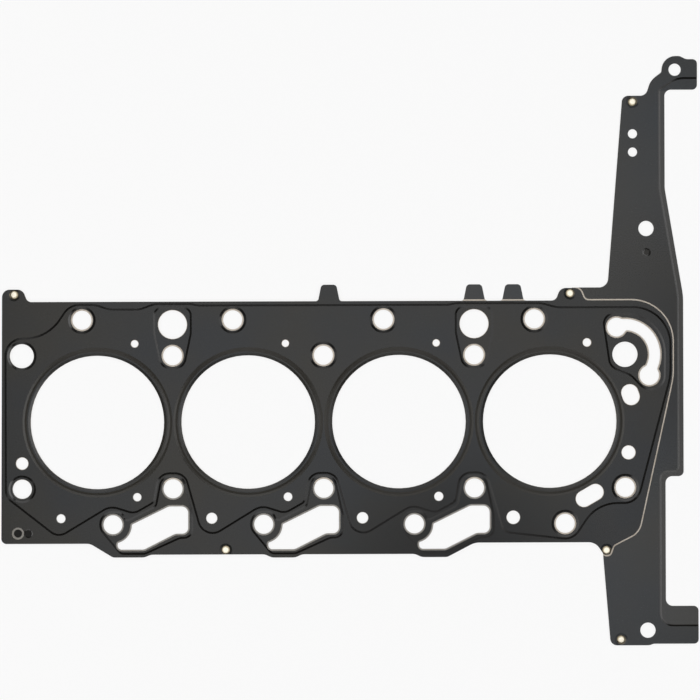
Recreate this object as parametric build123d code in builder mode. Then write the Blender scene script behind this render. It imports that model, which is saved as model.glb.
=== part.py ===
from build123d import *
import os

os.makedirs("parts", exist_ok=True)

# Head gasket for an engine with four cylinders in a row: three steel sheets over the block, a fourth
# one on the tongue that seals the timing case, and six brass rivets that hold the stack together.
# X runs along the cylinder row, Y across it and Z up to the cylinder head. The origin is the middle
# of the row, on the face that lies on the block. All sizes are in millimetres.

# Sheets, from the block up
carrier_gauge = 0.25
spacer_gauge = 0.40
bead_sheet_gauge = 0.25

# Beads pressed into the upper sheets
bead_height = 0.25
flank_width = 1.3
bore_bead_offset = 4.0
bore_bead_half_width = 1.4
bore_lip_height = 0.12
bore_lip_width = 1.7
hole_ring_radius = 8.4
dowel_ring_radius = 9.0

# Cylinder row and head bolts
bore_pitch = 99.0
bore_radius = 43.8
bolt_row_y = 43.7
bolt_hole_radius = 6.25
left_dowel_radius = 7.9
right_dowel_radius = 8.3

# Oil passages
drain_radius = 6.25
drain_shift = 10.0
drain_y = 67.2
gallery_radius = 9.4
gallery_y = 64.15
oil_slot_reach = 10.5
oil_slot_overrun = 2.4
oil_slot_top = 11.0
oil_slot_step = 30.1
oil_slot_foot = 40.5
oil_slot_land = 11.8
slot_bead_margin = 2.1
curved_slot_inner = 15.4
curved_slot_outer = 23.8
upper_lobe = (-5.4, 17.9)
upper_lobe_radius = 6.8
lower_lobe = (16.0, -13.8)
lower_lobe_radius = 7.0

# Coolant passages
upper_coolant_shift = 24.6
upper_coolant_y = 51.6
upper_coolant_radii = [2.35, 2.25, 2.25, 2.65]
lower_coolant_shift = 26.0
lower_coolant_y = 49.15
lower_coolant_radii = [2.65, 2.75, 2.9]
feed_shift = 24.1
feed_y = 63.1
feed_radii = [2.85, 3.55, 3.65, 4.35]
left_coolant_y = 26.85
left_coolant_radius = 3.95
right_coolant_shift = 2.2
right_coolant_y = 20.7
right_coolant_radius = 4.45
dowel_slot_shift = 3.6
dowel_slot_y = 17.2
dowel_slot_length = 2.7
dowel_slot_width = 11.0
bolt_slot_shift = 26.1
bolt_slot_y = 48.9
bolt_slot_length = 8.7
bolt_slot_width = 10.6

# Edges of the block area and what the sheets leave of each other
top_edge_y = 79.2
bottom_edge_y = 79.6
tab_height = 8.2
end_margin = 13.3
timing_margin = 31.3
hole_relief = 0.25
ring_relief = 1.0
spacer_lip = 0.6
spacer_reach = 0.9
tongue_gap = 0.1

# Thickness-code teeth on the top edge
tooth_height = 10.8
tooth_half_width = 4.9
tooth_flare = 2.2
tooth_fillet = 2.0
head_tooth_shift = 3.7
carrier_tooth_shifts = [0.2, 25.6]

# Timing case tongue
tongue_top = 213.5
tongue_foot = 147.4
bulge_top = 82.0
bulge_taper = 152.5
bulge_foot = 36.4
lower_ear_y = 121.6
tongue_bolt_shift = 14.1
tongue_bolt_inset = 9.9
upper_tongue_bolt_y = 126.3
margin_width = 3.4
margin_foot = 134.4
tongue_dimple_y = 110.6
tongue_hole_radius = 5.0
guide_hole_radius = 3.0
lobe_hole_radius = 4.0

# Rivets and dimples
rivet_radius = 1.6
rivet_head_radius = 2.9
rivet_crown_radius = 2.2
rivet_head_height = 0.22
countersink_radius = 2.3
dish_radius = 3.6
dimple_radius = 2.2
corner_hole_radius = 2.7
corner_hole_relief = 1.3

# Places that follow from the sizes above
bore_x = [(i - 1.5) * bore_pitch for i in range(4)]
bolt_x = [(i - 2) * bore_pitch for i in range(5)]
bores = [(x, 0) for x in bore_x]
upper_bolts = [(x, bolt_row_y) for x in bolt_x[1:4]]
lower_bolts = [(x, -bolt_row_y) for x in bolt_x]
slot_bolts = lower_bolts[1:4]
left_dowel = (bolt_x[0], bolt_row_y)
right_dowel = (bolt_x[4], bolt_row_y)
upper_drains = [(x - drain_shift, drain_y) for x in bore_x]
lower_drains = [(x + drain_shift, -drain_y) for x in bore_x]
galleries = [(x, gallery_y) for x in (bolt_x[1], bolt_x[3])]
drain_dx = drain_shift - bore_pitch / 2
drain_dy = bolt_row_y - drain_y
oil_slot_end = drain_dx + oil_slot_overrun
bead_foot = oil_slot_foot + slot_bead_margin
bead_side = oil_slot_reach + slot_bead_margin

left_x = bolt_x[0] - end_margin
right_x = bolt_x[4] + timing_margin
tab_top = top_edge_y + tab_height
block_rivets = [
    (bolt_x[0] - 5.1, top_edge_y + 4.8),
    (bore_x[1] - 15.0, -bottom_edge_y - 4.3),
    (bore_x[3] + 13.6, top_edge_y + 4.8),
    (bolt_x[4] - 12.4, -bottom_edge_y - 5.2),
]
tongue_rivets = [(bolt_x[4] + 5.5, tongue_top - 3.8), (bolt_x[4] - 2.9, 3.7 - tongue_foot)]
tongue_bolt_x = bolt_x[4] + tongue_bolt_shift
tongue_bolts = [
    (tongue_bolt_x, upper_tongue_bolt_y),
    (tongue_bolt_x + 0.5, tongue_bolt_inset - tongue_foot),
]
corner_hole = (left_x + 10.4, 6.8 - bottom_edge_y)
corner_dimple = (left_x + 17.3, 6.8 - bottom_edge_y)

# Heights of the faces above the block
carrier_top = carrier_gauge
spacer_top = carrier_top + spacer_gauge
head_face = spacer_top + bead_height + bead_sheet_gauge
through = 4 * head_face
standing = (Align.CENTER, Align.CENTER, Align.MIN)


def rounded(corners):
    """Face inside a closed outline of straight runs, each corner given as (x, y, radius)."""
    with BuildLine() as outline:
        FilletPolyline(
            *[(x, y) for x, y, _ in corners],
            radius=[r for _, _, r in corners],
            close=True,
        )
    make_face(outline.edges())


def press(corners, mode=Mode.ADD):
    """Tapered step of the press tool, wider at the top by one bead flank, or narrower if cut away."""
    spread = flank_width / 2 if mode == Mode.ADD else -flank_width / 2
    with BuildSketch() as foot:
        rounded(corners)
        offset(amount=-spread)
    with BuildSketch(Plane.XY.offset(bead_height)) as crest:
        rounded(corners)
        offset(amount=spread)
    loft([foot.sketch, crest.sketch], ruled=True, mode=mode)


def press_round(places, radius, mode=Mode.ADD):
    """The same step round a hole, a rivet or a dimple."""
    spread = flank_width / 2 if mode == Mode.ADD else -flank_width / 2
    with Locations(*places):
        Cone(radius - spread, radius + spread, bead_height, align=standing, mode=mode)


# Outline of the block area, without the teeth. It runs clockwise from the left tab.
block_corners = [
    (left_x + 0.5, tab_top, 5),
    (left_x + 14.0, tab_top, 5),
    (left_x + 17.0, top_edge_y, 4),
    (bore_x[3] + 4.1, top_edge_y, 4),
    (bore_x[3] + 7.3, tab_top, 5),
    (bore_x[3] + 20.0, tab_top, 5),
    (bore_x[3] + 23.2, top_edge_y, 4),
    (right_x, top_edge_y, 27),
    (right_x, 29.0, 45),
    (bolt_x[4] + 8.8, -73.0, 12),
    (bolt_x[4] - 8.0, -bottom_edge_y - 2.0, 4),
    (bolt_x[4] - 10.1, -bottom_edge_y - 8.4, 2.6),
    (bolt_x[4] - 14.0, -bottom_edge_y - 8.4, 2.6),
    (bolt_x[4] - 19.8, -bottom_edge_y, 8.5),
    (bolt_x[3], -bottom_edge_y, 12),
    (bolt_x[3] - 18.0, -bottom_edge_y - 9.4, 5),
    (bolt_x[3] - 35.0, -bottom_edge_y - 9.4, 8),
    (bolt_x[3] - 39.0, -bottom_edge_y - 7.3, 8),
    (bolt_x[2] - 14.5, -bottom_edge_y - 7.3, 8),
    (bolt_x[2] - 18.5, -bottom_edge_y - 9.4, 8),
    (bolt_x[2] - 34.5, -bottom_edge_y - 9.4, 8),
    (bolt_x[2] - 38.5, -bottom_edge_y - 7.3, 8),
    (bolt_x[1] - 14.5, -bottom_edge_y - 7.3, 8),
    (bolt_x[1] - 19.0, -bottom_edge_y - 9.1, 8),
    (bolt_x[1] - 39.5, -bottom_edge_y - 9.1, 5),
    (bolt_x[1] - 54.5, -bottom_edge_y, 8),
    (left_x - 0.5, -bottom_edge_y, 3.5),
]
with BuildSketch() as block_outline:
    rounded(block_corners)


def grow_tooth(outline, x):
    """Adds a thickness-code tooth to the top edge, with a small radius at its foot."""
    with Locations((x, top_edge_y)):
        add(tooth.sketch)
    foot = outline.vertices().sort_by_distance((x, top_edge_y))[:2]
    fillet(foot, radius=tooth_fillet)


# One thickness-code tooth, standing on the origin
with BuildSketch() as tooth:
    rounded([
        (tooth_half_width, tooth_height, 2.5),
        (tooth_half_width + tooth_flare, 0, 0),
        (-tooth_half_width - tooth_flare, 0, 0),
        (-tooth_half_width, tooth_height, 2.5),
    ])

# Outline of the tongue, from the right tab clockwise. Its left side runs on under the block area.
tongue_right = right_x + 7.1
tongue_ear = right_x + 16.6
tongue_waist = right_x - 4.8
tongue_corners = [
    (bore_x[3] + 15.0, tab_top + 0.3, 0),
    (bolt_x[4] - 11.3, tab_top + 0.3, 6),
    (bolt_x[4] - 1.2, tongue_top, 4.2),
    (bolt_x[4] + 14.2, tongue_top, 5),
    (bolt_x[4] + 17.4, tongue_top + 10.0, 12),
    (bolt_x[4] + 24.5, tongue_top + 15.4, 2),
    (bolt_x[4] + 25.4, tongue_top + 26.0, 9),
    (bolt_x[4] + 36.6, tongue_top + 26.0, 5),
    (bolt_x[4] + 40.5, tongue_top + 23.9, 6),
    (tongue_ear, tongue_top + 23.9, 3),
    (tongue_ear, tongue_top + 3.9, 3.2),
    (tongue_waist, tongue_top + 3.9, 4.2),
    (tongue_waist, bulge_taper, 20),
    (tongue_right, bulge_top, 40),
    (tongue_right, -bulge_foot, 3.4),
    (tongue_waist, -bulge_foot, 4.4),
    (tongue_waist, -lower_ear_y, 4.6),
    (tongue_ear, -lower_ear_y, 3.2),
    (tongue_ear, 1.0 - tongue_foot, 3),
    (bolt_x[4] + 18.5, 1.0 - tongue_foot, 4),
    (bolt_x[4] + 15.5, -tongue_foot, 4),
    (bolt_x[4] - 9.8, -tongue_foot, 4.5),
    (bolt_x[4] - 14.8, -bottom_edge_y - 7.0, 0),
    (bolt_x[4] - 10.0, -bottom_edge_y, 0),
    (bore_x[3] + 15.0, top_edge_y, 0),
]
with BuildSketch() as tongue_outline:
    rounded(tongue_corners)

# Whole outlines of the head side sheet and of the carrier
with BuildSketch() as toothed_outline:
    add(block_outline.sketch)
    grow_tooth(toothed_outline, bolt_x[2] + head_tooth_shift)
with BuildSketch() as carrier_outline:
    add(block_outline.sketch)
    add(tongue_outline.sketch)
    for shift in carrier_tooth_shifts:
        grow_tooth(carrier_outline, bolt_x[3] + shift)

# Oil slot beside a lower head bolt, drawn with the bolt at the origin. It keeps a land of even width
# round the drain hole at its far end.
with BuildSketch() as oil_slot:
    rounded([
        (oil_slot_reach, -oil_slot_top, 5),
        (oil_slot_reach, -oil_slot_step, 4.5),
        (1.5, -oil_slot_step, 6),
        (-19.0, -oil_slot_foot, 6),
        (oil_slot_end, -oil_slot_foot, 3.2),
        (oil_slot_end, -27.7, 0),
        (-2.9, -oil_slot_top, 6),
    ])
    with Locations((drain_dx, drain_dy)):
        Circle(oil_slot_land, mode=Mode.SUBTRACT)
    land_ends = oil_slot.vertices().sort_by_distance((drain_dx, drain_dy))[:2]
    fillet(land_ends, radius=1.6)

# Curved slot round the right dowel, drawn with the dowel at the origin: part of a ring with a round
# lobe at each end
with BuildSketch() as curved_slot:
    Circle(curved_slot_outer)
    Circle(curved_slot_inner, mode=Mode.SUBTRACT)
    Polygon(
        (0, 0),
        (2 * lower_lobe[0], 2 * lower_lobe[1]),
        (2 * curved_slot_outer, 2 * curved_slot_outer),
        (2 * upper_lobe[0], 2 * upper_lobe[1]),
        align=None,
        mode=Mode.INTERSECT,
    )
    with Locations(upper_lobe):
        Circle(upper_lobe_radius)
    with Locations(lower_lobe):
        Circle(lower_lobe_radius)
    fillet(curved_slot.vertices(), radius=1.5)

# Holes that line the sheets up with the block: the same size in all of them
with BuildSketch() as fitted_holes:
    with Locations(*bores):
        Circle(bore_radius)
    with Locations(left_dowel):
        Circle(left_dowel_radius)
    with Locations(right_dowel):
        Circle(right_dowel_radius)

# Bolt holes, drains and slots where the spacer shows as a bright ring, at the size of the spacer's
with BuildSketch() as ringed_passages:
    with Locations(*slot_bolts):
        add(oil_slot.sketch)
    with Locations(right_dowel):
        add(curved_slot.sketch)
    offset(amount=-spacer_lip)
    with Locations(*upper_bolts, *lower_bolts[1:]):
        Circle(bolt_hole_radius)
    with Locations(*upper_drains, *lower_drains):
        Circle(drain_radius)

# The other passages of the block area and the left corner's bolt hole, at the size of the spacer's
with BuildSketch() as plain_passages:
    with Locations(lower_bolts[0]):
        Circle(bolt_hole_radius)
    with Locations(*galleries):
        Circle(gallery_radius)
    for x, radius in zip(bore_x, upper_coolant_radii):
        with Locations((x + upper_coolant_shift, upper_coolant_y)):
            Circle(radius)
    for x, radius in zip(bore_x, lower_coolant_radii):
        with Locations((x + lower_coolant_shift, -lower_coolant_y)):
            Circle(radius)
    for x, radius in zip(bore_x, feed_radii):
        with Locations((x - feed_shift, -feed_y)):
            Circle(radius)
    with Locations((bolt_x[0], -left_coolant_y)):
        Circle(left_coolant_radius)
    with Locations((bolt_x[4] + right_coolant_shift, -right_coolant_y)):
        Circle(right_coolant_radius)
    with Locations(Location((bolt_x[4] + dowel_slot_shift, dowel_slot_y), -70)):
        SlotCenterToCenter(dowel_slot_length, dowel_slot_width)
    with Locations(Location((bore_x[3] + bolt_slot_shift, -bolt_slot_y), 30)):
        SlotCenterToCenter(bolt_slot_length, bolt_slot_width)

# All of them as the coated sheets have them: wider than the spacer's
with BuildSketch() as wide_rings:
    add(ringed_passages.sketch)
    offset(amount=ring_relief)
with BuildSketch() as wide_passages:
    add(plain_passages.sketch)
    offset(amount=hole_relief)
    add(wide_rings.sketch)

# Holes of the tongue, at the size of its upper sheet's
with BuildSketch() as tongue_holes:
    with Locations(*tongue_bolts):
        Circle(tongue_hole_radius)
    with Locations((bolt_x[4] + 5.4, tongue_top - 25.0), (bolt_x[4] + 5.4, tongue_top - 37.0)):
        Circle(guide_hole_radius)
    with Locations((bolt_x[4] + 33.2, tongue_top + 17.0)):
        Circle(lobe_hole_radius)

# The carrier is cut a little wider there too
with BuildSketch() as wide_tongue_holes:
    add(tongue_holes.sketch)
    offset(amount=hole_relief)

# Half bead round the coolant area. It dips past each lower head bolt and its oil slot.
jacket_left = left_x + 2.6
jacket_top = top_edge_y - 2.6
jacket_right = right_x - 1.4
jacket_corners = [
    (jacket_left, bolt_row_y + 11.5, 11.2),
    (bolt_x[0] + 16.7, bolt_row_y + 11.5, 27.7),
    (bolt_x[0] + 31.5, jacket_top + 0.6, 12),
    (bore_x[0] - 0.5, jacket_top + 0.6, 20),
    (bore_x[0] + 7.5, jacket_top - 2.5, 20),
    (bolt_x[1] - 21.5, jacket_top - 2.5, 12),
    (bolt_x[1] - 12.0, jacket_top + 1.0, 12),
    (bolt_x[1] + 12.0, jacket_top + 1.0, 12),
    (bolt_x[1] + 17.0, jacket_top, 12),
    (bolt_x[3] - 17.0, jacket_top, 12),
    (bolt_x[3] - 12.0, jacket_top + 1.0, 12),
    (bore_x[3] - 5.5, jacket_top + 0.9, 20),
    (bore_x[3] + 5.0, jacket_top - 1.9, 20),
    (jacket_right, jacket_top - 1.9, 24.5),
    (jacket_right, 29.5, 40),
    (bolt_x[4] + 7.8, -bolt_row_y - 10.2, 11),
    (bolt_x[4] - 18.5, -bolt_row_y - 10.2, 25),
    (bore_x[3] + 15.1, 1.8 - bottom_edge_y, 11),
    (bolt_x[3] + 19.2, -72.6, 6),
]
for x, y in reversed(slot_bolts):
    jacket_corners += [
        (x + 7.8, y + 10.2, 8.5),
        (x - 9.3, y + 10.2, 8.5),
        (x - 12.6, y - 8.8, 5),
        (x + drain_dx + 13.9, y - 16.1, 8),
        (x + drain_dx - 1.7, y - 11.2, 11),
    ]
    if x > bolt_x[1]:
        jacket_corners += [(x + 20.2 - bore_pitch, y - 34.2, 9.5)]
jacket_corners += [
    (bolt_x[0] + 23.5, -75.5, 8.5),
    (jacket_left, -48.8, 9),
]

# Half bead round a lower head bolt, its oil slot and the drain hole, drawn from the bolt
slot_bead = [
    (6.8, 8.1, 6.5),
    (bead_side, -17.8, 15),
    (bead_side, -oil_slot_step - slot_bead_margin, 5.5),
    (4.5, -oil_slot_step - slot_bead_margin, 8),
    (-18.5, -bead_foot, 8),
    (oil_slot_end + 2.7, -bead_foot, 4),
    (drain_dx - 8.3, drain_dy - 2.9, 8),
    (drain_dx - 8.3, drain_dy + 8.3, 8),
    (drain_dx + 6.1, drain_dy + 8.3, 5),
    (drain_dx + 8.3, drain_dy + 2.0, 2.4),
    (-11.2, -11.5, 4),
    (-7.4, 8.1, 6.5),
]

# Raised land round an upper head bolt and the oil gallery above it, drawn from the bolt
gallery_land = [
    (12.0, 31.5, 5),
    (12.0, 14.5, 12),
    (7.2, -8.2, 7),
    (-7.2, -8.2, 7),
    (-12.0, 14.5, 12),
    (-12.0, 31.5, 5),
]

# Raised land round the right dowel and the curved slot, drawn from the dowel
dowel_land = [
    (-14.8, 26.7, 6.5),
    (26.7, 26.7, 26),
    (25.9, -23.1, 9.0),
    (13.0, -23.1, 8.5),
    (3.5, -13.3, 12),
    (-9.7, -8.2, 8),
]

# Round lands that stay raised inside the pressed area
ringed_holes = upper_drains + [upper_bolts[1], lower_bolts[0], lower_bolts[4], lower_drains[3]]

# Area of the head side sheet that is pressed down onto the spacer, as a solid one bead deep
with BuildPart() as low_area:
    press(jacket_corners)
    for x, y in upper_bolts[::2]:
        press([(x + dx, y + dy, r) for dx, dy, r in gallery_land], mode=Mode.SUBTRACT)
    press([(right_dowel[0] + dx, right_dowel[1] + dy, r) for dx, dy, r in dowel_land], mode=Mode.SUBTRACT)
    press_round(ringed_holes, hole_ring_radius, mode=Mode.SUBTRACT)
    press_round([left_dowel], dowel_ring_radius, mode=Mode.SUBTRACT)
    for x, y in slot_bolts:
        press([(x + dx, y + dy, r) for dx, dy, r in slot_bead])
    press_round(block_rivets, dish_radius)
    press_round([corner_dimple], dimple_radius)
    with BuildSketch():
        add(block_outline.sketch)
    extrude(amount=bead_height, mode=Mode.INTERSECT)

# Full bead round a bore, a ridge of the sheet that is wedge-shaped in section, and the lip at the
# bore's edge, where the sheet lifts a little
with BuildPart() as bore_bead:
    with BuildSketch(Plane.XZ):
        with BuildLine():
            Polyline(
                (bore_radius + bore_bead_offset - bore_bead_half_width, 0),
                (bore_radius + bore_bead_offset, bead_height),
                (bore_radius + bore_bead_offset + bore_bead_half_width, 0),
                close=True,
            )
        make_face()
        with BuildLine():
            Polyline(
                (bore_radius, 0),
                (bore_radius, bore_lip_height),
                (bore_radius + bore_lip_width, 0),
                close=True,
            )
        make_face()
    revolve(axis=Axis.Z)

# Head side sheet: coated spring steel over the block area, with all the beads and the left tooth
with BuildPart() as head_side_layer:
    with BuildSketch(Plane.XY.offset(spacer_top + bead_height)):
        add(toothed_outline.sketch)
    extrude(amount=bead_sheet_gauge)
    with Locations((0, 0, spacer_top)):
        add(low_area.part)
    with Locations((0, 0, spacer_top + bead_sheet_gauge)):
        add(low_area.part, mode=Mode.SUBTRACT)
    with Locations(*[(x, y, spacer_top + bead_sheet_gauge) for x, y in bores]):
        add(bore_bead.part)
    with Locations(*[(x, y, spacer_top) for x, y in bores]):
        add(bore_bead.part, mode=Mode.SUBTRACT)
    with BuildSketch():
        add(fitted_holes.sketch)
        add(wide_passages.sketch)
        with Locations(*block_rivets):
            Circle(rivet_radius)
        with Locations(corner_hole):
            Circle(corner_hole_radius + corner_hole_relief)
    extrude(amount=through, mode=Mode.SUBTRACT)
head_side_layer.part.label = "head_side_layer"
export_step(head_side_layer.part, "parts/head_side_layer.step")

# Spacer: bare steel without beads. It shows as a bright line past the head side sheet wherever the
# carrier runs on under it.
with BuildPart() as distance_layer:
    with BuildSketch(Plane.XY.offset(carrier_top)):
        add(block_outline.sketch)
        offset(amount=spacer_reach)
        add(carrier_outline.sketch, mode=Mode.INTERSECT)
        add(fitted_holes.sketch, mode=Mode.SUBTRACT)
        add(ringed_passages.sketch, mode=Mode.SUBTRACT)
        add(plain_passages.sketch, mode=Mode.SUBTRACT)
        with Locations(*block_rivets):
            Circle(rivet_radius, mode=Mode.SUBTRACT)
        with Locations(corner_hole):
            Circle(corner_hole_radius, mode=Mode.SUBTRACT)
    extrude(amount=spacer_gauge)
distance_layer.part.label = "distance_layer"
export_step(distance_layer.part, "parts/distance_layer.step")

# Carrier: the flat coated sheet on the block side, with the tongue and the two right teeth
with BuildPart() as block_side_layer:
    with BuildSketch():
        add(carrier_outline.sketch)
        add(fitted_holes.sketch, mode=Mode.SUBTRACT)
        add(wide_passages.sketch, mode=Mode.SUBTRACT)
        add(wide_tongue_holes.sketch, mode=Mode.SUBTRACT)
    extrude(amount=carrier_gauge)
    with Locations(*block_rivets, *tongue_rivets):
        Cone(countersink_radius, rivet_radius, carrier_gauge, align=standing, mode=Mode.SUBTRACT)
block_side_layer.part.label = "block_side_layer"
export_step(block_side_layer.part, "parts/block_side_layer.step")

# Low margin of the tongue's upper sheet, right of the half bead that follows the tongue's edge
with BuildPart() as low_margin:
    press([
        (tongue_ear + margin_width, tongue_top + 11.5, 2),
        (bolt_x[4] + 35.0, tongue_top + 11.5, 14),
        (tongue_waist - margin_width, tongue_top + 4.0, 3.5),
        (tongue_waist - margin_width, bulge_taper, 20),
        (tongue_right - margin_width, bulge_top, 40),
        (tongue_right - margin_width, margin_width - bulge_foot, 3),
        (tongue_waist - margin_width, margin_width - bulge_foot, 5),
        (tongue_waist - margin_width, -margin_foot, 8),
        (tongue_ear + margin_width, -margin_foot, 2),
    ])
    press_round(tongue_rivets, dish_radius)
    press_round([(tongue_bolt_x + 0.2, tongue_dimple_y)], dimple_radius)
    with BuildSketch():
        add(tongue_outline.sketch)
    extrude(amount=bead_height, mode=Mode.INTERSECT)

# Upper sheet of the tongue: it starts where the spacer ends
with BuildPart() as timing_case_layer:
    with BuildSketch(Plane.XY.offset(carrier_top + bead_height)):
        add(tongue_outline.sketch)
        with BuildSketch(mode=Mode.PRIVATE) as spacer_side:
            add(block_outline.sketch)
            offset(amount=spacer_reach + tongue_gap)
        add(spacer_side.sketch, mode=Mode.SUBTRACT)
    extrude(amount=bead_sheet_gauge)
    with Locations((0, 0, carrier_top)):
        add(low_margin.part)
    with Locations((0, 0, carrier_top + bead_sheet_gauge)):
        add(low_margin.part, mode=Mode.SUBTRACT)
    with BuildSketch():
        add(tongue_holes.sketch)
        with Locations(*tongue_rivets):
            Circle(rivet_radius)
    extrude(amount=through, mode=Mode.SUBTRACT)
timing_case_layer.part.label = "timing_case_layer"
export_step(timing_case_layer.part, "parts/timing_case_layer.step")


def rivet_section(seat):
    """Half section of a rivet whose head sits on the given height and whose foot is flush."""
    with BuildLine() as section:
        Polyline(
            (0, 0),
            (countersink_radius, 0),
            (rivet_radius, carrier_gauge),
            (rivet_radius, seat),
            (rivet_head_radius, seat),
            (rivet_crown_radius, seat + rivet_head_height),
            (0, seat + rivet_head_height),
            close=True,
        )
    make_face(section.edges())


# Rivets through the three sheets of the block area
with BuildPart() as block_rivet:
    with BuildSketch(Plane.XZ):
        rivet_section(spacer_top + bead_sheet_gauge)
    revolve(axis=Axis.Z)
with BuildPart() as block_area_rivets:
    with Locations(*block_rivets):
        add(block_rivet.part)
block_area_rivets.part.label = "block_area_rivets"
export_step(block_area_rivets.part, "parts/block_area_rivets.step")

# Shorter rivets through the two sheets of the tongue
with BuildPart() as tongue_rivet:
    with BuildSketch(Plane.XZ):
        rivet_section(carrier_top + bead_sheet_gauge)
    revolve(axis=Axis.Z)
with BuildPart() as timing_tongue_rivets:
    with Locations(*tongue_rivets):
        add(tongue_rivet.part)
timing_tongue_rivets.part.label = "timing_tongue_rivets"
export_step(timing_tongue_rivets.part, "parts/timing_tongue_rivets.step")
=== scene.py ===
import math

import bmesh
import bpy
from mathutils import Matrix, Vector


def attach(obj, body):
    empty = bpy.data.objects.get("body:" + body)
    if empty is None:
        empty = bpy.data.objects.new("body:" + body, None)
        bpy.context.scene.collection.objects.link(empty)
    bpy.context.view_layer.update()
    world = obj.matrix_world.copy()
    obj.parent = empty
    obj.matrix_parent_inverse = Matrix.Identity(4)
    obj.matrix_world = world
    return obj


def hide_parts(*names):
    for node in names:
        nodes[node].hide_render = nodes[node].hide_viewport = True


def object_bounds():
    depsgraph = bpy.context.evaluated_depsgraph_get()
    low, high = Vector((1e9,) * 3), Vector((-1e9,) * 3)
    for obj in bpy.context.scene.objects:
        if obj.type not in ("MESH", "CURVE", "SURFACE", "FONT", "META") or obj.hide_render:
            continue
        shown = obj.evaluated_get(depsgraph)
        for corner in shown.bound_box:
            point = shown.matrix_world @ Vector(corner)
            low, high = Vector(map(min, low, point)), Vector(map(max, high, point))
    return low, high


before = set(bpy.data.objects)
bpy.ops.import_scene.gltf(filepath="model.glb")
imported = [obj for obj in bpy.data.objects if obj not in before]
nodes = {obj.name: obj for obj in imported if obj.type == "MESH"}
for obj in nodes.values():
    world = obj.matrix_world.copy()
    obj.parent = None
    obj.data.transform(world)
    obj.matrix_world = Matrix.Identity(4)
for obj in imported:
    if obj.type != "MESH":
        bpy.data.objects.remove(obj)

cad_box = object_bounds()

# Block side sheet, the carrier of the stack. The real one is spring steel, dipped in a thin
# charcoal rubber and then punched, so its faces are satin black and its cut edges are bare steel.
# It is the lowest sheet and reaches out under the tongue.


def new_group(name, inputs, outputs):
    """An empty shader node group: its tree, what it is given and what it puts out."""
    tree = bpy.data.node_groups.new(name, "ShaderNodeTree")
    for label, kind, value in inputs:
        socket = tree.interface.new_socket(label, in_out="INPUT", socket_type=kind)
        socket.default_value = value
    for label, kind in outputs:
        tree.interface.new_socket(label, in_out="OUTPUT", socket_type=kind)
    given = tree.nodes.new("NodeGroupInput").outputs
    result = tree.nodes.new("NodeGroupOutput").inputs
    return tree, given, result


def feed(tree, socket, value):
    """A socket takes a plain value, or is linked to the socket that the value comes from."""
    if isinstance(value, bpy.types.NodeSocket):
        tree.links.new(value, socket)
    else:
        socket.default_value = value


def place_on_piece(tree):
    """Where a point lies on its piece, in metres."""
    return tree.nodes.new("ShaderNodeTexCoord").outputs["Object"]


def drawn_out(tree, place, stretch, turn=0):
    """A place stretched along its three axes and turned about the upright one."""
    node = tree.nodes.new("ShaderNodeMapping")
    node.inputs["Scale"].default_value = stretch
    node.inputs["Rotation"].default_value = (0, 0, turn)
    feed(tree, node.inputs["Vector"], place)
    return node.outputs["Vector"]


def noise(tree, place, fineness, detail, roughness=0.5):
    """Soft noise from 0 to 1, with more bumps to the metre the finer it is."""
    node = tree.nodes.new("ShaderNodeTexNoise")
    labels = ("Vector", "Scale", "Detail", "Roughness")
    for label, value in zip(labels, (place, fineness, detail, roughness)):
        feed(tree, node.inputs[label], value)
    return node.outputs["Fac"]


def spread(tree, value, low, high, to_low=0, to_high=1, curve="LINEAR"):
    """A number moved from one range to another, and held inside that."""
    node = tree.nodes.new("ShaderNodeMapRange")
    node.interpolation_type = curve
    labels = ("Value", "From Min", "From Max", "To Min", "To Max")
    for label, given in zip(labels, (value, low, high, to_low, to_high)):
        feed(tree, node.inputs[label], given)
    return node.outputs["Result"]


def mixed(tree, kind, share, first, second):
    """The first of two tones or numbers where the share is 0, and the second where it is 1."""
    node = tree.nodes.new("ShaderNodeMix")
    node.data_type = kind
    for label, value in zip(("Factor", "A", "B"), (share, first, second)):
        feed(tree, node.inputs[label], value)
    return node.outputs["Result"]


def worked_out(tree, operation, *values):
    """A number worked out from others."""
    node = tree.nodes.new("ShaderNodeMath")
    node.operation = operation
    for socket, value in zip(node.inputs, values):
        feed(tree, socket, value)
    return node.outputs["Value"]


def dimmed(tree, tone, share):
    """A tone times a number."""
    node = tree.nodes.new("ShaderNodeVectorMath")
    node.operation = "SCALE"
    feed(tree, node.inputs[0], tone)
    feed(tree, node.inputs["Scale"], share)
    return node.outputs["Vector"]


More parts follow.
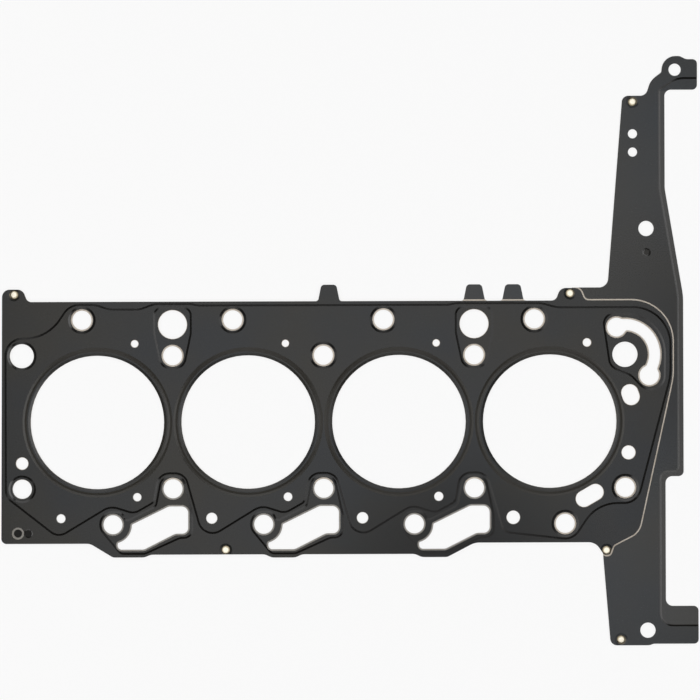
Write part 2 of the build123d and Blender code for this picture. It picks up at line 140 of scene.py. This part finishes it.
def rubber_coating_group():
    """Rolled-on rubber: slow drifts of tone, a fine grain and a few paler handling marks."""
    tree, given, result = new_group(
        "rubber_coating",
        [
            ("Warm Tone", "NodeSocketColor", (0.0115, 0.0103, 0.0092, 1)),
            ("Cool Tone", "NodeSocketColor", (0.009, 0.0098, 0.0112, 1)),
            ("Drift Fineness", "NodeSocketFloat", 9.0),
            ("Grain Fineness", "NodeSocketFloat", 1400.0),
            ("Scuffing", "NodeSocketFloat", 0.1),
            ("Roughness", "NodeSocketFloat", 0.22),
        ],
        [
            ("Color", "NodeSocketColor"),
            ("Roughness", "NodeSocketFloat"),
            ("Height", "NodeSocketFloat"),
        ],
    )
    scuff_tone = (0.021, 0.02, 0.018, 1)
    grain_roughness, scuff_roughness = 0.08, 0.1
    place = place_on_piece(tree)

    drift = noise(tree, place, given["Drift Fineness"], detail=3, roughness=0.45)
    coolness = spread(tree, drift, low=0.38, high=0.62)
    tone = mixed(tree, "RGBA", coolness, given["Warm Tone"], given["Cool Tone"])

    grain = noise(tree, place, given["Grain Fineness"], detail=4, roughness=0.65)
    tint = spread(tree, grain, low=0.3, high=0.7, to_low=0.86, to_high=1.14)
    grained = dimmed(tree, tone, tint)

    wiped = drawn_out(tree, place, stretch=(30, 260, 30), turn=0.5)
    marks = noise(tree, wiped, fineness=2.2, detail=5, roughness=0.7)
    clear_marks = spread(tree, marks, low=0.56, high=0.74)
    scuffs = worked_out(tree, "MULTIPLY", clear_marks, given["Scuffing"])
    feed(tree, result["Color"], mixed(tree, "RGBA", scuffs, grained, scuff_tone))

    grainy = worked_out(tree, "MULTIPLY_ADD", grain, grain_roughness, given["Roughness"])
    worn = worked_out(tree, "MULTIPLY_ADD", scuffs, scuff_roughness, grainy)
    feed(tree, result["Roughness"], worn)
    feed(tree, result["Height"], grain)
    return tree


def along(tree, vector, axis):
    """How far a vector reaches along one axis."""
    node = tree.nodes.new("ShaderNodeSeparateXYZ")
    feed(tree, node.inputs["Vector"], vector)
    return node.outputs[axis]


def punched_edge_group():
    """Mask of the walls that the punch has cut: every face that stands upright on the sheet."""
    tree, given, result = new_group(
        "punched_edge",
        [("Sharpness", "NodeSocketFloat", 0.2)],
        [("Mask", "NodeSocketFloat")],
    )
    facing = tree.nodes.new("ShaderNodeNewGeometry").outputs["True Normal"]
    level = worked_out(tree, "ABSOLUTE", along(tree, facing, "Z"))
    feed(tree, result["Mask"], worked_out(tree, "LESS_THAN", level, given["Sharpness"]))
    return tree


in_sheet_plane = (1, 1, 0)


def vector_worked_out(tree, operation, *values):
    """A vector worked out from others, or the length or distance of such vectors."""
    node = tree.nodes.new("ShaderNodeVectorMath")
    node.operation = operation
    for socket, value in zip(node.inputs, values):
        feed(tree, socket, value)
    return node.outputs["Value" if operation in ("LENGTH", "DISTANCE") else "Vector"]


def put_together(tree, x, y, z):
    """A vector from its x, y and z."""
    node = tree.nodes.new("ShaderNodeCombineXYZ")
    for socket, value in zip(node.inputs, (x, y, z)):
        feed(tree, socket, value)
    return node.outputs["Vector"]


def pressed_flank_group():
    """The sheet's normal, leant to one steepness on pressed slopes, and less where it is calm."""
    tree, given, result = new_group(
        "pressed_flank",
        [
            ("Lean", "NodeSocketFloat", 0.4),
            ("Gain", "NodeSocketFloat", 5.7),
            ("Calm", "NodeSocketFloat", 0.0),
        ],
        [("Normal", "NodeSocketVector"), ("Slope", "NodeSocketFloat")],
    )
    normal = tree.nodes.new("ShaderNodeNewGeometry").outputs["Normal"]
    sideways = vector_worked_out(tree, "MULTIPLY", normal, in_sheet_plane)
    slope = vector_worked_out(tree, "LENGTH", sideways)

    wanted = worked_out(tree, "DIVIDE", given["Lean"], slope)
    allowed = worked_out(tree, "MINIMUM", wanted, given["Gain"])
    lean = worked_out(tree, "MAXIMUM", allowed, 1)
    eased = mixed(tree, "FLOAT", given["Calm"], lean, 1)
    leant = vector_worked_out(tree, "MULTIPLY", normal, put_together(tree, eased, eased, 1))
    feed(tree, result["Normal"], vector_worked_out(tree, "NORMALIZE", leant))

    steepness = spread(tree, slope, low=0.02, high=0.15)
    feed(tree, result["Slope"], mixed(tree, "FLOAT", given["Calm"], steepness, 0))
    return tree


mm = 0.001


def pocket_group():
    """Mask of one round pocket, by its place on the sheet and its radius."""
    tree, given, result = new_group(
        "pocket",
        [("Place", "NodeSocketVector", (0, 0, 0)), ("Radius", "NodeSocketFloat", 2.2 * mm)],
        [("Mask", "NodeSocketFloat")],
    )
    flattened = vector_worked_out(tree, "MULTIPLY", place_on_piece(tree), in_sheet_plane)
    away = vector_worked_out(tree, "DISTANCE", flattened, given["Place"])
    feed(tree, result["Mask"], worked_out(tree, "LESS_THAN", away, given["Radius"]))
    return tree


def painted_shade_patch_group():
    """Mask of one broad patch of painted shade on the coating, which fades out all round."""
    tree, given, result = new_group(
        "painted_shade_patch",
        [("Place", "NodeSocketVector", (0, 0, 0)), ("Reach", "NodeSocketFloat", 120 * mm)],
        [("Mask", "NodeSocketFloat")],
    )
    away = vector_worked_out(tree, "DISTANCE", place_on_piece(tree), given["Place"])
    fading = spread(tree, away, 0, given["Reach"], to_low=1, to_high=0, curve="SMOOTHSTEP")
    feed(tree, result["Mask"], fading)
    return tree


def bore_zone_group():
    """Mask of the rings round the four bores, where the coating on the bead slopes is rubbed softer
    and its painted shade is lighter and browner.
    """
    tree, given, result = new_group(
        "bore_zone",
        [("Pitch", "NodeSocketFloat", 99 * mm), ("Reach", "NodeSocketFloat", 51 * mm)],
        [("Mask", "NodeSocketFloat")],
    )
    place = place_on_piece(tree)
    x, y = along(tree, place, "X"), along(tree, place, "Y")
    half_pitch = worked_out(tree, "MULTIPLY", given["Pitch"], 0.5)
    minus_half = worked_out(tree, "MULTIPLY", half_pitch, -1)
    shifted = worked_out(tree, "ADD", x, half_pitch)
    from_bore = worked_out(tree, "WRAP", shifted, half_pitch, minus_half)
    radius = vector_worked_out(tree, "LENGTH", put_together(tree, from_bore, y, 0))
    near_bore = worked_out(tree, "LESS_THAN", radius, given["Reach"])

    from_middle = worked_out(tree, "ABSOLUTE", x)
    row_end = worked_out(tree, "MULTIPLY", given["Pitch"], 2)
    in_row = worked_out(tree, "LESS_THAN", from_middle, row_end)
    feed(tree, result["Mask"], worked_out(tree, "MULTIPLY", near_bore, in_row))
    return tree


def cut_steel_group():
    """Bare sheet steel: warm grey, with fine roll lines and a slight stain."""
    tree, given, result = new_group(
        "cut_steel",
        [
            ("Tone", "NodeSocketColor", (0.6, 0.56, 0.5, 1)),
            ("Stain Tone", "NodeSocketColor", (0.36, 0.31, 0.25, 1)),
            ("Roughness", "NodeSocketFloat", 0.34),
        ],
        [("Color", "NodeSocketColor"), ("Roughness", "NodeSocketFloat")],
    )
    line_roughness = 0.2
    place = place_on_piece(tree)
    stains = noise(tree, place, fineness=90, detail=4)
    stained = spread(tree, stains, low=0.48, high=0.72, to_high=0.7)
    feed(tree, result["Color"], mixed(tree, "RGBA", stained, given["Tone"], given["Stain Tone"]))

    rolled = drawn_out(tree, place, stretch=(60, 900, 900))
    roll_lines = noise(tree, rolled, fineness=2, detail=3)
    lined = worked_out(tree, "MULTIPLY_ADD", roll_lines, line_roughness, given["Roughness"])
    feed(tree, result["Roughness"], lined)
    return tree


rubber_coating = rubber_coating_group()
punched_edge = punched_edge_group()
pressed_flank = pressed_flank_group()
pocket = pocket_group()
painted_shade_patch = painted_shade_patch_group()
bore_zone = bore_zone_group()
cut_steel = cut_steel_group()


def new_material(name):
    """An empty material: itself, its tree and the sockets of its shader."""
    material = bpy.data.materials.new(name)
    material.use_nodes = True
    tree = material.node_tree
    return material, tree, tree.nodes["Principled BSDF"].inputs


def placed_group(tree, group, values):
    """The outputs of a group that is placed in a material with its own values."""
    node = tree.nodes.new("ShaderNodeGroup")
    node.node_tree = group
    for label, value in values.items():
        feed(tree, node.inputs[label], value)
    return node.outputs


def bump(tree, height, strength, distance):
    """A bump node for fine unevenness of the surface."""
    node = tree.nodes.new("ShaderNodeBump")
    node.inputs["Strength"].default_value = strength
    node.inputs["Distance"].default_value = distance
    feed(tree, node.inputs["Height"], height)
    return node


def coated_steel(
    name, warm, cool, drift_fineness, scuffing, pocket_place, pocket_radius, seats,
    patch_place, patch_painted_shade, patch_roughness,
):
    """Rubber-coated spring steel: bare cut edges, rivet seats, painted shade on the bead slopes and
    in one pocket, and a broad patch of painted shade.
    """
    slope_painted_shade, bore_slope_painted_shade = (0.0028, 0.0022, 0.0016, 1), (0.0135, 0.0112, 0.0068, 1)
    slope_roughness, bore_slope_roughness, pocket_roughness = -0.08, 0.15, 0.9
    seat_radius, seat_calm = 5.2 * mm, 0.85
    material, tree, shader = new_material(name)
    shader["Specular IOR Level"].default_value = 0.5
    shader["IOR"].default_value = 1.5

    coating = placed_group(tree, rubber_coating, {
        "Warm Tone": (*warm, 1),
        "Cool Tone": (*cool, 1),
        "Drift Fineness": drift_fineness,
        "Scuffing": scuffing,
    })
    steel = placed_group(tree, cut_steel, {})
    edge = placed_group(tree, punched_edge, {})["Mask"]
    near_bore = placed_group(tree, bore_zone, {})["Mask"]
    patch = placed_group(tree, painted_shade_patch, {"Place": patch_place})["Mask"]
    # Painted shade fills the round pocket, which is also made much rougher.
    painted_pocket_shade = placed_group(tree, pocket, {"Place": pocket_place, "Radius": pocket_radius})["Mask"]
    calm = 0
    for seat in seats:
        dish = placed_group(tree, pocket, {"Place": seat, "Radius": seat_radius})["Mask"]
        calm = worked_out(tree, "MULTIPLY_ADD", dish, seat_calm, calm)
    flank = placed_group(tree, pressed_flank, {"Calm": calm})

    # Painted shade: the coating's colour is darkened over the broad patch, which is also made
    # rougher.
    painted_shade_lightness = worked_out(tree, "MULTIPLY_ADD", patch, -patch_painted_shade, 1)
    flat_tone = dimmed(tree, coating["Color"], painted_shade_lightness)
    # Painted shade: the bead slopes and the pocket take a near-black tone instead of the coating's
    # colour, and a lighter, browner one near the bores.
    slope_and_pocket_shade_tone = mixed(tree, "RGBA", near_bore, slope_painted_shade, bore_slope_painted_shade)
    painted_shade_places = worked_out(tree, "MAXIMUM", flank["Slope"], painted_pocket_shade)
    face_tone = mixed(tree, "RGBA", painted_shade_places, flat_tone, slope_and_pocket_shade_tone)
    feed(tree, shader["Base Color"], mixed(tree, "RGBA", edge, face_tone, steel["Color"]))

    bore_slope = worked_out(tree, "MULTIPLY", flank["Slope"], near_bore)
    face_roughness = coating["Roughness"]
    for place, change in [
        (flank["Slope"], slope_roughness),
        (bore_slope, bore_slope_roughness),
        (patch, patch_roughness),
    ]:
        face_roughness = worked_out(tree, "MULTIPLY_ADD", place, change, face_roughness)
    face_roughness = mixed(tree, "FLOAT", painted_pocket_shade, face_roughness, pocket_roughness)
    feed(tree, shader["Roughness"], mixed(tree, "FLOAT", edge, face_roughness, steel["Roughness"]))
    feed(tree, shader["Metallic"], edge)
    grain = bump(tree, coating["Height"], strength=0.25, distance=0.01 * mm)
    feed(tree, grain.inputs["Normal"], flank["Normal"])
    feed(tree, shader["Normal"], grain.outputs["Normal"])
    return material


def give(node_name, material):
    """The node's own surface takes a material."""
    mesh = nodes[node_name].data
    mesh.materials.clear()
    mesh.materials.append(material)


def spot(x, y):
    """A place on the sheets, from millimetres."""
    return (x * mm, y * mm, 0)


give("block_side_layer", coated_steel(
    "coated_block_side",
    warm=(0.025, 0.0238, 0.0205),
    cool=(0.0185, 0.022, 0.0262),
    drift_fineness=8.0,
    scuffing=0.1,
    pocket_place=spot(-200.9, -72.8),
    pocket_radius=2.6 * mm,
    seats=[],
    patch_place=spot(238, 45),
    patch_painted_shade=0.6,
    patch_roughness=0.04,
))

# Distance layer, the spacer that sets the stack's thickness. It is bare cold-rolled steel,
# punched and left uncoated, and shows as a bright line along the tongue and in the holes.


def bare_steel(name):
    """Cold-rolled sheet steel with faint roll lines, greyer on the side of the oil slots."""
    slots_below, tongue_from = -40 * mm, 150 * mm
    grey_tone = (0.3, 0.285, 0.262, 1)
    material, tree, shader = new_material(name)
    shader["Metallic"].default_value = 1.0
    steel = placed_group(tree, cut_steel, {
        "Tone": (0.56, 0.505, 0.44, 1),
        "Stain Tone": (0.42, 0.36, 0.29, 1),
        "Roughness": 0.3,
    })
    place = place_on_piece(tree)
    slot_side = worked_out(tree, "LESS_THAN", along(tree, place, "Y"), slots_below)
    before_tongue = worked_out(tree, "LESS_THAN", along(tree, place, "X"), tongue_from)
    greyed = worked_out(tree, "MULTIPLY", slot_side, before_tongue)
    feed(tree, shader["Base Color"], mixed(tree, "RGBA", greyed, steel["Color"], grey_tone))
    feed(tree, shader["Roughness"], steel["Roughness"])
    return material


give("distance_layer", bare_steel("bare_spacer"))

# Head side sheet: the same coated spring steel as the carrier, with its beads and the seats for
# the rivets pressed into it. It lies on the spacer and takes the cylinder head.

block_rivet_places = [(-203.1, 84.0), (-64.5, -83.9), (162.1, 84.0), (185.6, -84.8)]

give("head_side_layer", coated_steel(
    "coated_head_side",
    warm=(0.0108, 0.0094, 0.0058),
    cool=(0.0046, 0.0066, 0.0092),
    drift_fineness=14.0,
    scuffing=0.2,
    pocket_place=spot(-194, -72.8),
    pocket_radius=2.3 * mm,
    seats=[spot(*place) for place in block_rivet_places],
    patch_place=spot(83, -100),
    patch_painted_shade=0.8,
    patch_roughness=0.25,
))

# Timing case sheet: a fourth coated sheet on the tongue, with a half bead along its open edge.
# Two rivets hold it to the carrier; the strip outside its half bead lies lower and has a painted
# sheen.

tongue_rivet_places = [(203.5, 209.7), (195.1, -143.7)]


def rim_strip_group():
    """Mask of the low strip between the half bead and the open edge, up to the ear."""
    tree, given, result = new_group(
        "rim_strip",
        [("Level", "NodeSocketFloat", 0.6 * mm), ("Top", "NodeSocketFloat", 216.5 * mm)],
        [("Mask", "NodeSocketFloat")],
    )
    place = place_on_piece(tree)
    low = worked_out(tree, "LESS_THAN", along(tree, place, "Z"), given["Level"])
    below_ear = worked_out(tree, "LESS_THAN", along(tree, place, "Y"), given["Top"])
    feed(tree, result["Mask"], worked_out(tree, "MULTIPLY", low, below_ear))
    return tree


def painted_strip_sheen(material, strip_sheen_tone, strip_sheen_share):
    """The rim strip gets a painted sheen: the coating turns to a paler tone there, by so large a
    share.
    """
    tree = material.node_tree
    base_colour = tree.nodes["Principled BSDF"].inputs["Base Color"]
    sheet_tone = base_colour.links[0].from_socket
    strip = placed_group(tree, rim_strip_group(), {})["Mask"]
    share = worked_out(tree, "MULTIPLY", strip, strip_sheen_share)
    feed(tree, base_colour, mixed(tree, "RGBA", share, sheet_tone, strip_sheen_tone))


tongue_coating = coated_steel(
    "coated_tongue",
    warm=(0.0245, 0.0238, 0.021),
    cool=(0.0185, 0.0222, 0.0268),
    drift_fineness=8.0,
    scuffing=0.1,
    pocket_place=spot(212.3, 110.6),
    pocket_radius=1.6 * mm,
    seats=[spot(*place) for place in tongue_rivet_places],
    patch_place=spot(238, 45),
    patch_painted_shade=0.6,
    patch_roughness=0.04,
)
# Painted sheen: the low rim strip is made paler than the rest of the sheet.
painted_strip_sheen(tongue_coating, strip_sheen_tone=(0.055, 0.053, 0.049, 1), strip_sheen_share=0.5)
give("timing_case_layer", tongue_coating)

# Rivets of the block area: turned from pale brass, pushed up through the countersunk carrier and
# set cold from above, so each has a flat bright crown, a rolled shoulder and a foot that is flush
# with the carrier.

head_seat = 0.9


def turned(name, section, steps, weld):
    """A mesh turned about the upright axis from the points of its half section."""
    build = bmesh.new()
    points = [build.verts.new((radius, 0, height)) for radius, height in section]
    for first, second in zip(points, points[1:]):
        build.edges.new((first, second))
    line = build.verts[:] + build.edges[:]
    bmesh.ops.spin(build, geom=line, axis=(0, 0, 1), angle=2 * math.pi, steps=steps)
    bmesh.ops.remove_doubles(build, verts=build.verts, dist=weld)
    bmesh.ops.recalc_face_normals(build, faces=build.faces)
    mesh = bpy.data.meshes.new(name)
    build.to_mesh(mesh)
    build.free()
    mesh.shade_smooth()
    return mesh


def rivet_mesh(name, seat):
    """A rivet from the punch mark in its foot to its crown, with its head at the seat's height."""
    foot = [(0, 0.06), (0.6, 0.06), (0.85, 0), (2.3, 0), (1.6, 0.25), (1.6, seat)]
    shoulder = [(2.9, 0), (2.88, 0.05), (2.72, 0.11), (2.4, 0.165), (2.0, 0.2)]
    crown = [(1.6, 0.22), (0, 0.22)]
    head = [(radius, seat + rise) for radius, rise in shoulder + crown]
    section = [(radius * mm, height * mm) for radius, height in foot + head]
    mesh = turned(name, section, steps=64, weld=0.001 * mm)
    mesh.set_sharp_from_angle(angle=math.radians(38))
    return mesh


def riveted_brass(name):
    """Pale brass on the crown, with painted shade that darkens it over the shoulder to brown and
    near black where it meets the sheet.
    """
    brass_and_painted_shade_tones = {
        0.5: (0.93, 0.86, 0.72, 1),
        0.68: (0.46, 0.41, 0.3, 1),
        0.84: (0.24, 0.2, 0.13, 1),
        1.0: (0.07, 0.055, 0.035, 1),
    }
    painted_shade_reach, smear_reach = 3.4 * mm, 0.6 * mm
    material, tree, shader = new_material(name)
    shader["Metallic"].default_value = 1

    place = place_on_piece(tree)
    flattened = vector_worked_out(tree, "MULTIPLY", place, in_sheet_plane)
    radius = vector_worked_out(tree, "LENGTH", flattened)
    smear = noise(tree, place, fineness=1300, detail=3)
    smeared_radius = worked_out(tree, "MULTIPLY_ADD", smear, smear_reach, radius)
    # Painted shade: the tone darkens from the crown outwards, nearly to black at the rim.
    rings = tree.nodes.new("ShaderNodeValToRGB")
    stops = rings.color_ramp.elements
    stops[0].position, stops[1].position = min(brass_and_painted_shade_tones), max(brass_and_painted_shade_tones)
    for position in sorted(brass_and_painted_shade_tones)[1:-1]:
        stops.new(position)
    for stop, position in zip(stops, sorted(brass_and_painted_shade_tones)):
        stop.color = brass_and_painted_shade_tones[position]
    feed(tree, rings.inputs["Fac"], spread(tree, smeared_radius, low=0, high=painted_shade_reach))
    feed(tree, shader["Base Color"], rings.outputs["Color"])
    gloss = spread(tree, smear, low=0, high=1, to_low=0.12, to_high=0.28)
    feed(tree, shader["Roughness"], gloss)
    dents = bump(tree, smear, strength=0.15, distance=0.02 * mm)
    feed(tree, shader["Normal"], dents.outputs["Normal"])
    return material


def set_rivets(name, node_name, places, seat, material):
    """One rivet at each place, standing for the CAD node's own rivets."""
    mesh = rivet_mesh(name, seat)
    mesh.materials.append(material)
    for number, place in enumerate(places, 1):
        rivet = bpy.data.objects.new(f"{name}_{number}", mesh)
        bpy.context.scene.collection.objects.link(rivet)
        rivet.location = spot(*place)
        rivet.rotation_euler.z = 0.9 * number
        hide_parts(node_name)
        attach(rivet, "root")


rivet_brass = riveted_brass("pale_rivet_brass")
set_rivets("block_rivet", "block_area_rivets", block_rivet_places, head_seat, rivet_brass)

# Rivets of the tongue: the same brass, turned shorter. They go up through the carrier and the
# timing case sheet alone, and are set cold from above like the others.

tongue_seat = 0.5
set_rivets("tongue_rivet", "timing_tongue_rivets", tongue_rivet_places, tongue_seat, rivet_brass)

# Floor: a plain white studio floor that runs up into a low wall far away, with the gasket's
# underside lying on it.

floor_gap = 0.02 * mm
floor_line = [(0, 0), (4, 0), (16, 0), (17, 0.1), (17.6, 0.4), (17.9, 1), (18, 1.8), (18, 3.3)]
floor_mesh = turned("floor", floor_line, steps=96, weld=0.1 * mm)
floor = bpy.data.objects.new("floor", floor_mesh)
bpy.context.scene.collection.objects.link(floor)
floor.location = (0, 0, cad_box[0][2] - floor_gap)

white_share = 0.8
floor_material = bpy.data.materials.new("white_floor")
floor_material.use_nodes = True
floor_tree = floor_material.node_tree
floor_tree.nodes.clear()
floor_paint = floor_tree.nodes.new("ShaderNodeBsdfDiffuse")
floor_paint.inputs["Color"].default_value = (0.9, 0.9, 0.9, 1)
floor_glow = floor_tree.nodes.new("ShaderNodeEmission")
floor_glow.inputs["Strength"].default_value = 1.0
rays = floor_tree.nodes.new("ShaderNodeLightPath").outputs
seen = worked_out(floor_tree, "MAXIMUM", rays["Is Camera Ray"], rays["Is Glossy Ray"])
floor_mix = floor_tree.nodes.new("ShaderNodeMixShader")
feed(floor_tree, floor_mix.inputs["Fac"], worked_out(floor_tree, "MULTIPLY", seen, white_share))
feed(floor_tree, floor_mix.inputs[1], floor_paint.outputs["BSDF"])
feed(floor_tree, floor_mix.inputs[2], floor_glow.outputs["Emission"])
floor_out = floor_tree.nodes.new("ShaderNodeOutputMaterial")
feed(floor_tree, floor_out.inputs["Surface"], floor_mix.outputs["Shader"])
floor_mesh.materials.append(floor_material)

# Camera: straight above the picture's middle, and turned by a fraction of a degree, as the
# photograph is.

picture_middle = Vector(spot(17.5, 47.1))
picture_width = 459.9 * mm
picture_turn = math.radians(0.1775)
camera_height = 1.4
camera_data = bpy.data.cameras.new("camera")
camera_data.sensor_width = 36
camera_data.lens = camera_data.sensor_width * camera_height / picture_width
camera_data.clip_start = 0.01
camera_data.clip_end = 100
camera = bpy.data.objects.new("camera", camera_data)
bpy.context.scene.collection.objects.link(camera)
camera_place = Matrix.Translation(picture_middle + Vector((0, 0, camera_height)))
camera.matrix_world = camera_place @ Matrix.Rotation(-picture_turn, 4, "Z")
bpy.context.scene.camera = camera

# Light: a soft panel overhead that the flat sheets mirror, and six soft boxes on the four sides
# of the table, low enough that only the outward slopes of the beads catch them. The low one on
# the left is the strongest.


def soft_box(name, place, facing, width, depth, brightness):
    """An area lamp that isn't seen itself. A brightness of 1 is a white card in full light."""
    data = bpy.data.lights.new(name, "AREA")
    data.shape = "RECTANGLE"
    data.size = width
    data.size_y = depth
    data.energy = brightness * math.pi * width * depth
    lamp = bpy.data.objects.new(name, data)
    bpy.context.scene.collection.objects.link(lamp)
    lamp.location = picture_middle + Vector(place)
    lamp.rotation_euler = Vector(facing).to_track_quat("-Z", "Y").to_euler()
    lamp.visible_camera = False


away = 0.75
soft_box("overhead_panel", (0, 0, 1.2), (0, 0, -1), 1.0, 0.94, 1.2)
soft_box("left_box", (-away, 0, 0.4), (1, 0, 0), 1.5, 0.2, 3.0)
soft_box("left_upper_box", (-away, -0.05, 0.68), (1, 0, 0), 0.5, 0.34, 1.4)
soft_box("right_box", (away, 0, 0.4), (-1, 0, 0), 1.5, 0.2, 2.2)
soft_box("right_upper_box", (away, 0, 0.68), (-1, 0, 0), 1.5, 0.34, 1.3)
soft_box("near_box", (0, -away, 0.54), (0, 1, 0), 1.5, 0.46, 1.7)
soft_box("far_box", (0, away, 0.54), (0, -1, 0), 1.5, 0.46, 1.7)

world = bpy.data.worlds.new("room")
bpy.context.scene.world = world
world.use_nodes = True
room_light = world.node_tree.nodes["Background"].inputs
room_light["Color"].default_value = (1, 1, 1, 1)
room_light["Strength"].default_value = 0.05

bpy.context.scene.view_settings.view_transform = "Standard"
